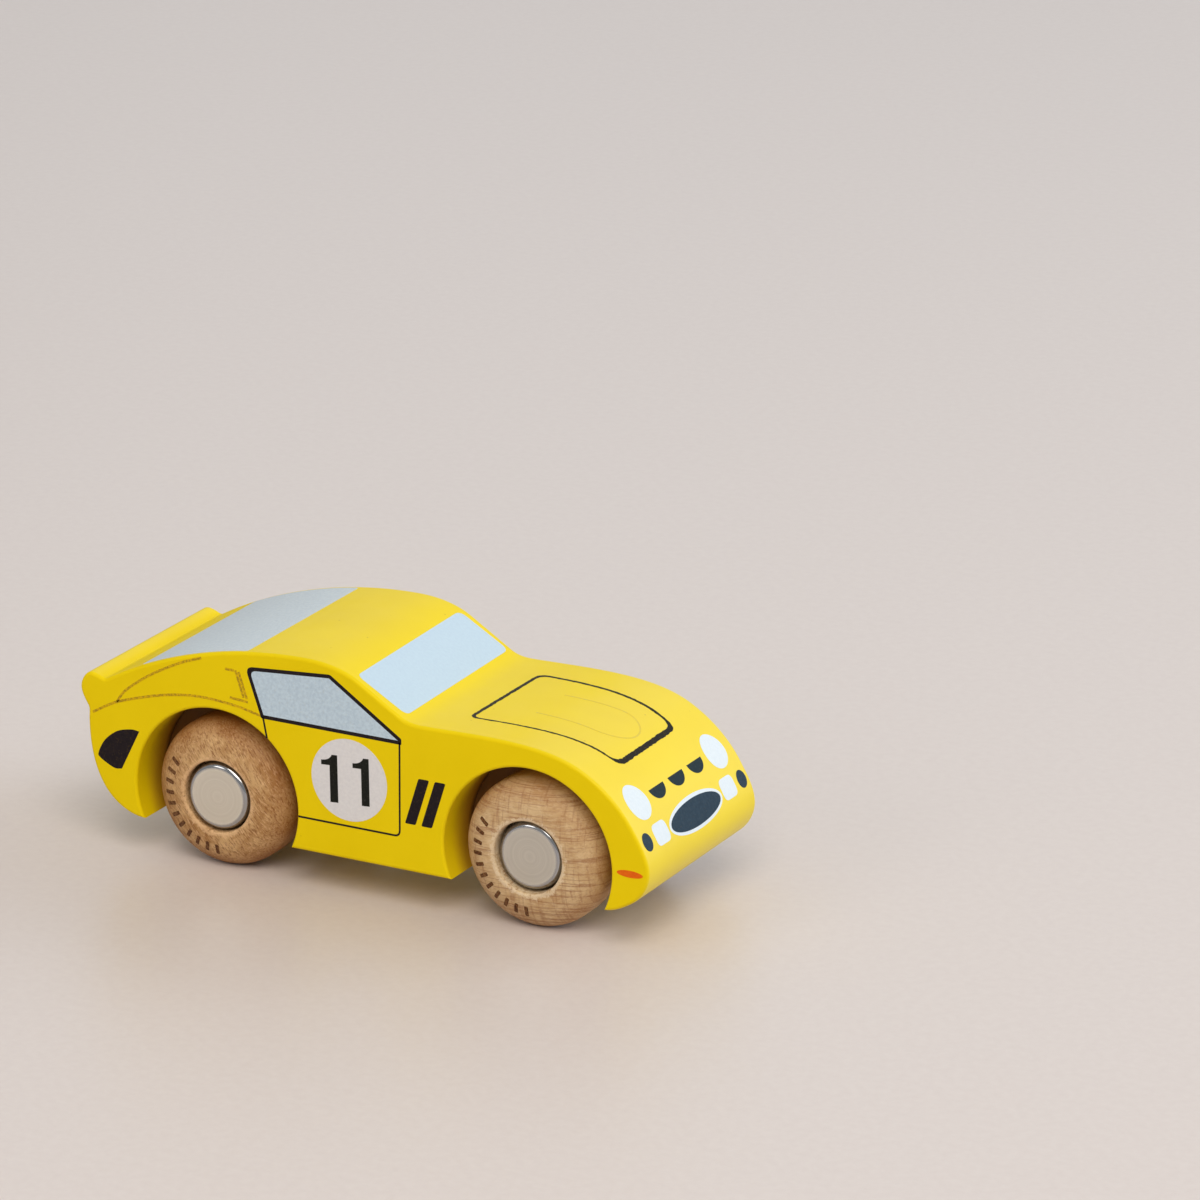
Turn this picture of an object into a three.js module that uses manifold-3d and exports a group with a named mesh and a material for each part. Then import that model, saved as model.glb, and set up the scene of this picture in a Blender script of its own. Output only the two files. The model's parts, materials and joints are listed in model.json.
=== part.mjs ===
// A wooden toy racing car: a solid beech block on four turned wheels.
// Each pair of wheels runs on a steel rod through the block, held by push-on hub caps.
// Millimetres, +X to the nose, +Y to the car's left, +Z up, origin on the ground under the middle of the car.
import * as THREE from "three";
import { mergeVertices } from "three/addons/utils/BufferGeometryUtils.js";
import Module from "manifold-3d";

// Body block: lengths along the car are counted from the nearer axle, heights from the axle line
const WHEELBASE = 68;
const BODY_WIDTH = 44.8;
const EDGE_ROUND = 0.7;
const BELLY_DROP = 7.4;
const TAIL_REACH = 28.8;
const SPOILER_REACH = 30.5;
const SPOILER_HEIGHT = 20.8;
const DECK_START_HEIGHT = 19.8;
const ROOF_HEIGHT = 31.75;
const SCREEN_FOOT_HEIGHT = 23.5;
const BONNET_HEIGHT = 22.5;
const NOSE_REACH = 25.9;

// Nodes of the block's side outline, from the tail's foot over the roof to the chin: how far ahead of its
// axle each one lies, its height, and the outline's heading there in degrees, with a new one past a crease
const SIDE_OUTLINE = {
  tailFoot: { axle: "rear", ahead: -16.5, height: -BELLY_DROP, heading: 180 },
  tailBend: { axle: "rear", ahead: 3.6 - TAIL_REACH, height: -2.6, heading: 126 },
  tailPanel: { axle: "rear", ahead: -TAIL_REACH, height: 11.5, heading: 90 },
  spoilerRoot: { axle: "rear", ahead: -0.2 - TAIL_REACH, height: 13.9, heading: 122 },
  spoilerBulge: { axle: "rear", ahead: -SPOILER_REACH, height: SPOILER_HEIGHT - 3.2, heading: 90 },
  spoilerTop: { axle: "rear", ahead: 2.6 - SPOILER_REACH, height: SPOILER_HEIGHT, heading: -5 },
  deckStart: { axle: "rear", ahead: -25, height: DECK_START_HEIGHT, heading: -25, leaving: 30 },
  roofPeak: { axle: "rear", ahead: 20, height: ROOF_HEIGHT, heading: 0 },
  screenTop: { axle: "front", ahead: -36.3, height: SCREEN_FOOT_HEIGHT + 5.45, heading: -31.5 },
  screenFoot: { axle: "front", ahead: -27.4, height: SCREEN_FOOT_HEIGHT, heading: -31.5 },
  bonnetStart: { axle: "front", ahead: -22.5, height: BONNET_HEIGHT, heading: 1 },
  bonnetEnd: { axle: "front", ahead: -2.8, height: BONNET_HEIGHT + 0.15, heading: -3 },
  noseBrow: { axle: "front", ahead: NOSE_REACH - 13.7, height: 19.2, heading: -29 },
  noseFace: { axle: "front", ahead: NOSE_REACH - 3.3, height: 9.5, heading: -59 },
  noseTip: { axle: "front", ahead: NOSE_REACH, height: 1.4, heading: -90 },
  chinBend: { axle: "front", ahead: NOSE_REACH - 3.5, height: -4.95, heading: -146 },
  chinFoot: { axle: "front", ahead: 16.2, height: -BELLY_DROP, heading: -180 },
};

// Turned wheels
const WHEEL_RADIUS = 15;
const WHEEL_WIDTH = 11;
const WHEEL_INSET = 0.3;
const WHEEL_DOME = 5.2;
const WHEEL_BACK_ROUND = 2;
const COUNTERBORE_EDGE = 0.5;

// Steel axle rods
const AXLE_RADIUS = 2.5;
const AXLE_CHAMFER = 0.4;

// Push-on hub caps, drawn from sheet with a rolled-in lip
const CAP_RADIUS = 6.75;
const CAP_HEIGHT = 3.8;
const CAP_SHEET = 0.5;
const CAP_SHOULDER = 1.1;
const CAP_LIP = 1.2;
const FRONT_CAP_RECESS = 1;
const REAR_CAP_RECESS = 0.2;

// Sprung star washers that sit on the caps' lips and bite the axle
const WASHER_SHEET = 0.4;
const WASHER_RIM = 1.6;
const WASHER_DISH = 0.9;
const WASHER_SLOTS = 6;
const WASHER_SLOT_WIDTH = 0.8;

// Clearances
const ARCH_CLEARANCE = 3;
const ARCH_EDGE = 0.6;
const WHEEL_END_PLAY = 0.4;
const WHEEL_BORE_CLEARANCE = 0.25;
const BODY_BORE_CLEARANCE = 0.25;
const CAP_FLOOR_GAP = 0.4;
const CAP_SIDE_GAP = 0.5;
const AXLE_END_GAP = 0.3;
const WASHER_SEAT_GAP = 0.15;
const WASHER_GRIP_GAP = 0.1;

// Fineness of the curves, and how close two points lie to be one
const OUTLINE_STEPS = 7;
const EDGE_STEPS = 3;
const CORNER_STEPS = 3;
const DOME_STEPS = 7;
const WHEEL_SIDES = 36;
const CAP_SIDES = 28;
const AXLE_SIDES = 24;
const ARCH_SIDES = 56;
const WELD = 1e-4;

// Stations along and across the car
const noseEnd = WHEELBASE + NOSE_REACH;
const tailEnd = -Math.max(SPOILER_REACH, TAIL_REACH);
const rearAxle = -(noseEnd + tailEnd) / 2;
const frontAxle = rearAxle + WHEELBASE;
const halfWidth = BODY_WIDTH / 2;
const wheelFace = halfWidth - WHEEL_INSET;
const wheelBack = wheelFace - WHEEL_WIDTH;
const wellFloor = wheelBack - WHEEL_END_PLAY;
const archRadius = WHEEL_RADIUS + ARCH_CLEARANCE;
const deepestCapRecess = Math.max(FRONT_CAP_RECESS, REAR_CAP_RECESS);
const counterboreRadius = CAP_RADIUS + CAP_SIDE_GAP;
const counterboreFloor = wheelFace - deepestCapRecess - CAP_HEIGHT - CAP_FLOOR_GAP;
const axleEnd = wheelFace - deepestCapRecess - CAP_SHEET - AXLE_END_GAP;

const paint = { color: 0xe8c81c, roughness: 0.5, metalness: 0 };
const beech = { color: 0xc9a176, roughness: 0.7, metalness: 0 };
const cappedSteel = { color: 0xc3bfb8, roughness: 0.3, metalness: 1 };
const rodSteel = { color: 0xa9a9aa, roughness: 0.35, metalness: 1 };
const springSteel = { color: 0x6f7074, roughness: 0.4, metalness: 1 };

const wasm = await Module();
wasm.setup();

function toSolid(geometry) {
  const bare = geometry.clone();
  bare.deleteAttribute("normal");
  bare.deleteAttribute("uv");
  const merged = mergeVertices(bare, WELD);
  const vertProperties = new Float32Array(merged.attributes.position.array);
  const triVerts = new Uint32Array(merged.index.array);
  return new wasm.Manifold(new wasm.Mesh({ numProp: 3, vertProperties, triVerts }));
}

function toGeometry(solid) {
  const mesh = solid.getMesh();
  const geometry = new THREE.BufferGeometry();
  geometry.setAttribute("position", new THREE.BufferAttribute(mesh.vertProperties, 3));
  geometry.setIndex(new THREE.BufferAttribute(mesh.triVerts, 1));
  geometry.computeVertexNormals();
  return geometry;
}

function named(name, geometry, finish) {
  const mesh = new THREE.Mesh(geometry, new THREE.MeshStandardMaterial(finish));
  mesh.name = name;
  return mesh;
}

const RIGHT_ANGLE = Math.PI / 2;

function point(x, y) {
  return new THREE.Vector2(x, y);
}

function heading(degrees) {
  const angle = THREE.MathUtils.degToRad(degrees);
  return point(Math.cos(angle), Math.sin(angle));
}

// A round piece turned about the axle: its profile is radius against distance out from the car's middle
function turned(profile, sides) {
  return new THREE.LatheGeometry(profile, sides);
}

// Points of a rounded corner in a profile: a quarter ellipse about a centre, from one angle to another
function corner(centre, reach, from, to, steps) {
  const quarter = new THREE.EllipseCurve(centre.x, centre.y, reach.x, reach.y, from, to, from > to);
  return quarter.getPoints(steps);
}

// The side outline: cubic curves between the nodes, with handles a third of the way, closed along the belly
function bodyOutline() {
  const axles = { rear: rearAxle, front: frontAxle };
  const nodes = Object.values(SIDE_OUTLINE).map((node) => ({
    place: point(axles[node.axle] + node.ahead, WHEEL_RADIUS + node.height),
    arriving: heading(node.heading),
    leaving: heading(node.leaving ?? node.heading),
  }));
  const shape = new THREE.Shape();
  shape.moveTo(nodes[0].place.x, nodes[0].place.y);
  for (let i = 1; i < nodes.length; i += 1) {
    const from = nodes[i - 1];
    const to = nodes[i];
    const pull = from.place.distanceTo(to.place) / 3;
    const first = from.place.clone().addScaledVector(from.leaving, pull);
    const second = to.place.clone().addScaledVector(to.arriving, -pull);
    shape.bezierCurveTo(first.x, first.y, second.x, second.y, to.place.x, to.place.y);
  }
  shape.closePath();
  return shape;
}

// The block is sawn to the outline and its edges are rounded over
function sawnBlock() {
  const depth = BODY_WIDTH - 2 * EDGE_ROUND;
  const block = new THREE.ExtrudeGeometry(bodyOutline(), {
    depth,
    curveSegments: OUTLINE_STEPS,
    bevelThickness: EDGE_ROUND,
    bevelSize: EDGE_ROUND,
    bevelOffset: -EDGE_ROUND,
    bevelSegments: EDGE_STEPS,
  });
  block.rotateX(RIGHT_ANGLE);
  block.translate(0, depth / 2, 0);
  return toSolid(block);
}

// A wheel pocket, bored in from the side with an eased edge
function wheelPocket() {
  const beyond = halfWidth + EDGE_ROUND;
  const flareCentre = point(archRadius + ARCH_EDGE, halfWidth - ARCH_EDGE);
  const flareReach = point(ARCH_EDGE, ARCH_EDGE);
  const profile = [
    point(0, wellFloor),
    point(archRadius, wellFloor),
    ...corner(flareCentre, flareReach, Math.PI, RIGHT_ANGLE, CORNER_STEPS),
    point(archRadius + ARCH_EDGE, beyond),
    point(0, beyond),
  ];
  return turned(profile, ARCH_SIDES);
}

function axleHole() {
  const radius = AXLE_RADIUS + BODY_BORE_CLEARANCE;
  const profile = [
    point(0, -halfWidth),
    point(radius, -halfWidth),
    point(radius, halfWidth),
    point(0, halfWidth),
  ];
  return turned(profile, AXLE_SIDES);
}

function bodyBlock() {
  let block = sawnBlock();
  for (const axle of [rearAxle, frontAxle]) {
    const leftPocket = wheelPocket();
    const rightPocket = wheelPocket().rotateZ(Math.PI);
    for (const cutter of [leftPocket, rightPocket, axleHole()]) {
      cutter.translate(axle, 0, WHEEL_RADIUS);
      block = block.subtract(toSolid(cutter));
    }
  }
  return named("body_block", toGeometry(block), paint);
}

// A wheel with a domed outer face, a flat back and a counterbore for its cap
function wheelGeometry() {
  const bore = AXLE_RADIUS + WHEEL_BORE_CLEARANCE;
  const domeStart = counterboreRadius + COUNTERBORE_EDGE;
  const backCentre = point(WHEEL_RADIUS - WHEEL_BACK_ROUND, wheelBack + WHEEL_BACK_ROUND);
  const backReach = point(WHEEL_BACK_ROUND, WHEEL_BACK_ROUND);
  const domeCentre = point(domeStart, wheelFace - WHEEL_DOME);
  const domeReach = point(WHEEL_RADIUS - domeStart, WHEEL_DOME);
  const profile = [
    point(bore, wheelBack),
    ...corner(backCentre, backReach, -RIGHT_ANGLE, 0, CORNER_STEPS),
    ...corner(domeCentre, domeReach, 0, RIGHT_ANGLE, DOME_STEPS),
    point(counterboreRadius, wheelFace - COUNTERBORE_EDGE),
    point(counterboreRadius, counterboreFloor),
    point(bore, counterboreFloor),
    point(bore, wheelBack),
  ];
  return turned(profile, WHEEL_SIDES);
}

function axleGeometry() {
  const profile = [
    point(0, -axleEnd),
    point(AXLE_RADIUS - AXLE_CHAMFER, -axleEnd),
    point(AXLE_RADIUS, AXLE_CHAMFER - axleEnd),
    point(AXLE_RADIUS, axleEnd - AXLE_CHAMFER),
    point(AXLE_RADIUS - AXLE_CHAMFER, axleEnd),
    point(0, axleEnd),
  ];
  return turned(profile, AXLE_SIDES);
}

// A cap is a shallow cup over the axle's end, with a rounded shoulder and its lip rolled in
function capGeometry(capTop) {
  const capBottom = capTop - CAP_HEIGHT;
  const inside = CAP_RADIUS - CAP_SHEET;
  const shoulderCentre = point(CAP_RADIUS - CAP_SHOULDER, capTop - CAP_SHOULDER);
  const outerReach = point(CAP_SHOULDER, CAP_SHOULDER);
  const innerReach = point(CAP_SHOULDER - CAP_SHEET, CAP_SHOULDER - CAP_SHEET);
  const profile = [
    point(0, capTop - CAP_SHEET),
    ...corner(shoulderCentre, innerReach, RIGHT_ANGLE, 0, CORNER_STEPS),
    point(inside, capBottom + CAP_SHEET),
    point(inside - CAP_LIP, capBottom + CAP_SHEET),
    point(inside - CAP_LIP, capBottom),
    point(CAP_RADIUS - CAP_SHEET, capBottom),
    point(CAP_RADIUS, capBottom + CAP_SHEET),
    ...corner(shoulderCentre, outerReach, 0, RIGHT_ANGLE, CORNER_STEPS),
    point(0, capTop),
  ];
  return turned(profile, CAP_SIDES);
}

// A star washer: a flat rim, and a dished centre slotted into teeth that lean on the axle
function washerGeometry(capTop) {
  const seat = capTop - CAP_HEIGHT + CAP_SHEET + WASHER_SEAT_GAP;
  const rim = CAP_RADIUS - CAP_SHEET - WASHER_SEAT_GAP;
  const dishStart = rim - WASHER_RIM;
  const grip = AXLE_RADIUS + WASHER_GRIP_GAP;
  const disc = turned(
    [
      point(grip, seat + WASHER_DISH),
      point(dishStart, seat),
      point(rim, seat),
      point(rim, seat + WASHER_SHEET),
      point(dishStart, seat + WASHER_SHEET),
      point(grip, seat + WASHER_DISH + WASHER_SHEET),
      point(grip, seat + WASHER_DISH),
    ],
    CAP_SIDES,
  );
  let washer = toSolid(disc);
  for (let i = 0; i < WASHER_SLOTS; i += 1) {
    const slot = new THREE.BoxGeometry(WASHER_SLOT_WIDTH, CAP_HEIGHT, dishStart);
    slot.translate(0, seat, dishStart / 2);
    slot.rotateY((2 * Math.PI * i) / WASHER_SLOTS);
    washer = washer.subtract(toSolid(slot));
  }
  return toGeometry(washer);
}

// One axle with its two wheels, caps and washers
function wheelSet(end, x, capRecess) {
  const set = new THREE.Group();
  set.position.set(x, 0, WHEEL_RADIUS);
  set.add(named(`axle_${end}`, axleGeometry(), rodSteel));
  for (const [side, turn] of [["left", 0], ["right", Math.PI]]) {
    const capTop = wheelFace - capRecess;
    const hub = new THREE.Group();
    hub.rotation.z = turn;
    hub.add(named(`wheel_${end}_${side}`, wheelGeometry(), beech));
    hub.add(named(`hub_cap_${end}_${side}`, capGeometry(capTop), cappedSteel));
    hub.add(named(`spring_washer_${end}_${side}`, washerGeometry(capTop), springSteel));
    set.add(hub);
  }
  return set;
}

const car = new THREE.Group();
car.add(bodyBlock());
car.add(wheelSet("rear", rearAxle, REAR_CAP_RECESS));
car.add(wheelSet("front", frontAxle, FRONT_CAP_RECESS));

export default car;
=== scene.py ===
"""A palm-sized wooden racing car: a painted block with printed windows, on turned beech wheels.

Sizes are in millimetres and become metres when a piece is finished. Printed shapes are drawn from the
rear axle: ahead along the car, across from its middle plane, and up from the axles.
"""

import json
import logging
import math
from collections.abc import Callable, Iterator
from contextlib import contextmanager
from dataclasses import dataclass
from enum import Enum, IntEnum

import bpy
from mathutils import Matrix, Vector, noise


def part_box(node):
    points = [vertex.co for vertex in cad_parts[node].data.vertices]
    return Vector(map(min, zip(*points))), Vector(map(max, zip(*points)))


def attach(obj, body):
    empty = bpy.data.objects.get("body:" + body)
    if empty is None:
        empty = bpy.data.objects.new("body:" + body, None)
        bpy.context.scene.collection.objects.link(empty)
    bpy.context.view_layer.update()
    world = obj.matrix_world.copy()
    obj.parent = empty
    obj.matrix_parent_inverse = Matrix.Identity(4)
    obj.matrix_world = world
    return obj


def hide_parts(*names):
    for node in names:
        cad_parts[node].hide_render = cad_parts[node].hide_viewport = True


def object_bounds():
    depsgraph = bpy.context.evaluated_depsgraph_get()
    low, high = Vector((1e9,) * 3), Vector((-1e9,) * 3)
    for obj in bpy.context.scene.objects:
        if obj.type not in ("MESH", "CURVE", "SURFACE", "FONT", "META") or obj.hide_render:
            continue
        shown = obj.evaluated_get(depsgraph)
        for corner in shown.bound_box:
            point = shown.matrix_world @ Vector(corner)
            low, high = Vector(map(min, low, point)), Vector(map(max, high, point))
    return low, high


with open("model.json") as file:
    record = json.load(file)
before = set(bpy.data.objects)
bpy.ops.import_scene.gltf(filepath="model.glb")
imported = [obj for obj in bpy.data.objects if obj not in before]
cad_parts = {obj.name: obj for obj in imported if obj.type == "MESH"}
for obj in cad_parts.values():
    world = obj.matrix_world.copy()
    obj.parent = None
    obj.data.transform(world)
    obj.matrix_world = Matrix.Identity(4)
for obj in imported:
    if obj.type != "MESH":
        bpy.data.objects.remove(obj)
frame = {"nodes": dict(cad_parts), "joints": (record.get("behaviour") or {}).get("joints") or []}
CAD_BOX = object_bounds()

LOG = logging.getLogger("toy_car")
MM = 0.001
WELD = 1e-4
RIGHT_ANGLE = math.pi / 2

# The least rounding of an inset corner, and the seed, rate and slice of the noise that roughens a line
LEAST_ROUND = 0.1
WOBBLE_SEED = 7
WOBBLE_RATE = 1.7
WOBBLE_SLICE = 0.5

# The range that holds most of a soft random pattern's values
MIDDLE = (0.3, 0.7)

Point = tuple[float, float]
Triple = tuple[float, float, float]
Corner = tuple[float, float, float]
Colour = tuple[float, float, float, float]
Loop = list[Point]
Piece = bpy.types.Object
Node = bpy.types.Node
Socket = bpy.types.NodeSocket
Drawing = Callable[["Sheet", Socket], dict[str, Socket]]


class Axis(IntEnum):
    """An axis of the car, as a vector counts them."""

    AHEAD = 0
    ACROSS = 1
    UP = 2


class Side(Enum):
    """A side of the car, with the sign of its Y."""

    RIGHT = -1
    LEFT = 1

    @property
    def tag(self) -> str:
        """Gives the side as names hold it."""
        return self.name.lower()


class End(Enum):
    """An end of the car, as its axle is named."""

    FRONT = "front"
    REAR = "rear"


class View(Enum):
    """A view in which prints are drawn: the axis that it looks along and the sign of its face."""

    RIGHT_SIDE = (Axis.ACROSS, -1)
    LEFT_SIDE = (Axis.ACROSS, 1)
    TOP = (Axis.UP, 1)
    NOSE = (Axis.AHEAD, 1)


def joint_place(name: str) -> Vector:
    """Finds a joint's place.

    Args:
        name: The joint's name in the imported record.

    Returns:
        The place in millimetres.
    """
    found = next(joint for joint in frame["joints"] if joint["name"] == name)
    return Vector(found["pos_m"]) / MM


def node_box(name: str) -> tuple[Vector, Vector]:
    """Gives the lowest and highest corner of a CAD node, in millimetres."""
    low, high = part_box(name)
    return low / MM, high / MM


AXLE = {end: joint_place(f"axle_{end.value}_turn") for end in End}


def srgb(red: int, green: int, blue: int) -> Colour:
    """Turns a colour as a picture writes it, 0 to 255, into the linear values that shaders take.

    Args:
        red: The red part.
        green: The green part.
        blue: The blue part.

    Returns:
        The linear colour with an alpha of 1.
    """
    linear = []
    for part in (red, green, blue):
        share = part / 255
        linear.append(share / 12.92 if share <= 0.04045 else ((share + 0.055) / 1.055) ** 2.4)
    return (*linear, 1.0)


# Drawing: closed outlines and lines as lists of points


def arc(centre: Point, reach: Point, start: float, end: float, steps: int) -> Loop:
    """Draws a stretch of an ellipse.

    Args:
        centre: The ellipse's centre.
        reach: Its half width and half height.
        start: The angle of the first point, in radians.
        end: The angle of the last point, in radians.
        steps: How many straight steps it takes.

    Returns:
        The points from start to end.
    """
    angles = [start + (end - start) * step / steps for step in range(steps + 1)]
    return [(centre[0] + reach[0] * math.cos(a), centre[1] + reach[1] * math.sin(a)) for a in angles]


def ellipse(centre: Point, reach: Point, steps: int = 72) -> Loop:
    """Draws a whole ellipse as a closed outline."""
    return arc(centre, reach, 0.0, 2 * math.pi, steps)[:-1]


def bend(first: Point, pull: Point, last: Point, steps: int) -> Loop:
    """Draws a curve that is pulled towards a point on its way.

    Args:
        first: Where it starts.
        pull: The point that it is pulled towards.
        last: Where it ends.
        steps: How many straight steps it takes.

    Returns:
        The points from first to last.
    """
    start, middle, end = Vector(first), Vector(pull), Vector(last)
    shares = [step / steps for step in range(steps + 1)]
    return [tuple(start.lerp(middle, t).lerp(middle.lerp(end, t), t)) for t in shares]


def rounded(corners: list[Corner], steps: int = 6) -> Loop:
    """Draws a polygon with rounded corners.

    Args:
        corners: Each corner's two coordinates and the reach of its rounding along each edge.
        steps: How many straight steps a corner takes.

    Returns:
        The closed outline.
    """
    outline: Loop = []
    for index, (x, y, reach) in enumerate(corners):
        corner = Vector((x, y))
        before = Vector(corners[index - 1][:2]) - corner
        after = Vector(corners[(index + 1) % len(corners)][:2]) - corner
        first = corner + before.normalized() * reach
        last = corner + after.normalized() * reach
        outline += bend(tuple(first), (x, y), tuple(last), steps)
    return outline


def plate(centre: Point, reach: Point, corner: float, steps: int = 6) -> Loop:
    """Draws an upright rectangle with rounded corners.

    Args:
        centre: Its centre.
        reach: Its half width and half height.
        corner: The reach of each corner's rounding.
        steps: How many straight steps a corner takes.

    Returns:
        The closed outline.
    """
    (x, y), (wide, high) = centre, reach
    turns = ((-wide, high), (wide, high), (wide, -high), (-wide, -high))
    return rounded([(x + across, y + up, corner) for across, up in turns], steps)


def inset(corners: list[Corner], depths: list[float]) -> list[Corner]:
    """Moves every edge of a clockwise polygon inwards.

    Args:
        corners: Each corner's two coordinates and rounding.
        depths: How far each edge moves; the first edge leaves the first corner.

    Returns:
        The smaller polygon's corners, with their roundings drawn in as well.
    """
    moved = []
    for index, (x, y, reach) in enumerate(corners):
        corner = Vector((x, y))
        along = (corner - Vector(corners[index - 1][:2])).normalized()
        onward = (Vector(corners[(index + 1) % len(corners)][:2]) - corner).normalized()
        shift = (along * depths[index] - onward * depths[index - 1]) / along.cross(onward)
        place = corner + shift
        moved.append((place.x, place.y, max(reach - depths[index] / 2, LEAST_ROUND)))
    return moved


def smooth(points: Loop, steps: int = 8) -> Loop:
    """Draws one flowing line through a few points.

    Args:
        points: The points that it passes through.
        steps: How many straight steps lie between two points.

    Returns:
        The points of the finer line.
    """
    spots = [Vector(point) for point in points]
    ends = [spots[0] * 2 - spots[1], *spots, spots[-1] * 2 - spots[-2]]
    line: Loop = []
    for before, first, last, after in zip(ends, ends[1:], ends[2:], ends[3:]):
        for step in range(steps):
            t = step / steps
            turn = (before * -1 + first * 3 - last * 3 + after) * t**3
            sway = (before * 2 - first * 5 + last * 4 - after) * t**2
            line.append(tuple((first * 2 + (last - before) * t + sway + turn) / 2))
    return [*line, points[-1]]


def ribbon(line: Loop, width: float) -> Loop:
    """Draws the outline of a pen line with square ends.

    Args:
        line: The middle of the line.
        width: Its width.

    Returns:
        The closed outline.
    """
    spots = [Vector(point) for point in line]
    left: Loop = []
    right: Loop = []
    for index, spot in enumerate(spots):
        ahead = spots[min(index + 1, len(spots) - 1)]
        behind = spots[max(index - 1, 0)]
        along = (ahead - behind).normalized()
        out = Vector((-along.y, along.x)) * (width / 2)
        left.append(tuple(spot + out))
        right.append(tuple(spot - out))
    return left + right[::-1]


def ragged(outline: Loop, pitch: float, depth: float) -> Loop:
    """Roughens a closed outline as a worn printing plate does.

    Args:
        outline: The clean outline.
        pitch: The distance between points.
        depth: The most that a point moves each way.

    Returns:
        The rough outline.
    """
    noise.seed_set(WOBBLE_SEED)
    rough: Loop = []
    for first, last in zip(outline, [*outline[1:], outline[0]]):
        start = Vector(first)
        reach = Vector(last) - start
        count = max(1, round(reach.length / pitch))
        for step in range(count):
            place = start + reach * (step / count)
            wobble = noise.noise_vector((place.x * WOBBLE_RATE, place.y * WOBBLE_RATE, WOBBLE_SLICE))
            rough.append((place.x + wobble.x * depth, place.y + wobble.y * depth))
    return rough


def mirrored(outline: Loop, middle: float = 0.0) -> Loop:
    """Reflects an outline across an upright line at middle."""
    return [(2 * middle - x, y) for x, y in outline]


def both(outline: Loop) -> list[Loop]:
    """Gives an outline together with its reflection across the car's middle."""
    return [outline, mirrored(outline)]


# Modelling: short calls round Blender's operators


def pick(piece: Piece) -> None:
    """Makes one object the only one selected, and the active one.

    Args:
        piece: The object.
    """
    bpy.ops.object.select_all(action="DESELECT")
    piece.select_set(True)
    bpy.context.view_layer.objects.active = piece


@contextmanager
def editing(piece: Piece, kind: str = "VERT") -> Iterator[None]:
    """Opens edit mode on a piece for the lines inside.

    Args:
        piece: The piece to edit.
        kind: What is selected there: VERT, EDGE or FACE.

    Yields:
        Nothing, with the piece in edit mode.
    """
    pick(piece)
    bpy.context.tool_settings.mesh_select_mode = [kind == each for each in ("VERT", "EDGE", "FACE")]
    bpy.ops.object.mode_set(mode="EDIT")
    yield
    bpy.ops.object.mode_set(mode="OBJECT")


def modified(piece: Piece, kind: str, **settings: object) -> None:
    """Adds one modifier to a piece and applies it.

    Args:
        piece: The piece to change.
        kind: The modifier's type.
        **settings: Its settings by name.
    """
    pick(piece)
    modifier = piece.modifiers.new(kind.lower(), kind)
    for name, value in settings.items():
        setattr(modifier, name, value)
    bpy.ops.object.modifier_apply(modifier=modifier.name)


def weld(piece: Piece) -> None:
    """Merges doubled points and turns all faces outwards.

    Args:
        piece: The piece to close up.
    """
    with editing(piece):
        bpy.ops.mesh.select_all(action="SELECT")
        bpy.ops.mesh.remove_doubles(threshold=WELD)
        bpy.ops.mesh.normals_make_consistent(inside=False)


def settle(piece: Piece, matrix: Matrix) -> None:
    """Puts a piece in its place and writes that place into its mesh.

    Args:
        piece: The piece.
        matrix: Its place, turn and scale.
    """
    piece.matrix_world = matrix
    pick(piece)
    bpy.ops.object.transform_apply(location=True, rotation=True, scale=True)


def select_edges(piece: Piece, test: Callable[[Vector, Vector], bool]) -> None:
    """Selects the edges whose two ends pass a test, and nothing else.

    Args:
        piece: The piece, in object mode.
        test: Takes an edge's two points and says whether it is wanted.
    """
    mesh = piece.data
    mesh.polygons.foreach_set("select", [False] * len(mesh.polygons))
    mesh.vertices.foreach_set("select", [False] * len(mesh.vertices))
    for edge in mesh.edges:
        first, last = (mesh.vertices[index].co for index in edge.vertices)
        edge.select = test(first, last)


def drawn(name: str, loops: list[Loop], closed: bool = True, thickness: float = 0.0) -> Piece:
    """Makes a flat mesh from outlines, or a chain of edges from an open line.

    Args:
        name: The piece's name.
        loops: Outlines in millimetres; one inside another is a hole.
        closed: Whether the outlines close and are filled.
        thickness: How thick the filled shape is.

    Returns:
        The mesh, lying in the XY plane.
    """
    curve = bpy.data.curves.new(name, "CURVE")
    curve.dimensions = "2D"
    curve.fill_mode = "BOTH" if closed else "NONE"
    curve.extrude = thickness / 2
    for loop in loops:
        spline = curve.splines.new("POLY")
        spline.points.add(len(loop) - 1)
        for knot, (x, y) in zip(spline.points, loop):
            knot.co = (x, y, 0.0, 1.0)
        spline.use_cyclic_u = closed
    piece = bpy.data.objects.new(name, curve)
    bpy.context.scene.collection.objects.link(piece)
    pick(piece)
    bpy.ops.object.convert(target="MESH")
    return bpy.context.object


def turned(name: str, profile: Loop, place: Vector, side: Side, steps: int) -> Piece:
    """Turns a profile about an axle, as on a lathe.

    Args:
        name: The piece's name.
        profile: Points as radius and distance out from the car's middle. It starts and ends on the axis,
            or else its last point joins its first.
        place: A point on the axle's line.
        side: The side of the car that the piece is on.
        steps: How many facets go round.

    Returns:
        The closed solid.
    """
    chain = profile if profile[0][0] == 0 else [*profile, profile[0]]
    piece = drawn(name, [[(radius, side.value * out) for radius, out in chain]], closed=False)
    settle(piece, Matrix.Translation(place))
    with editing(piece):
        bpy.ops.mesh.select_all(action="SELECT")
        bpy.ops.mesh.spin(steps=steps, angle=2 * math.pi, center=place, axis=(0, 1, 0))
    weld(piece)
    return piece


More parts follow.
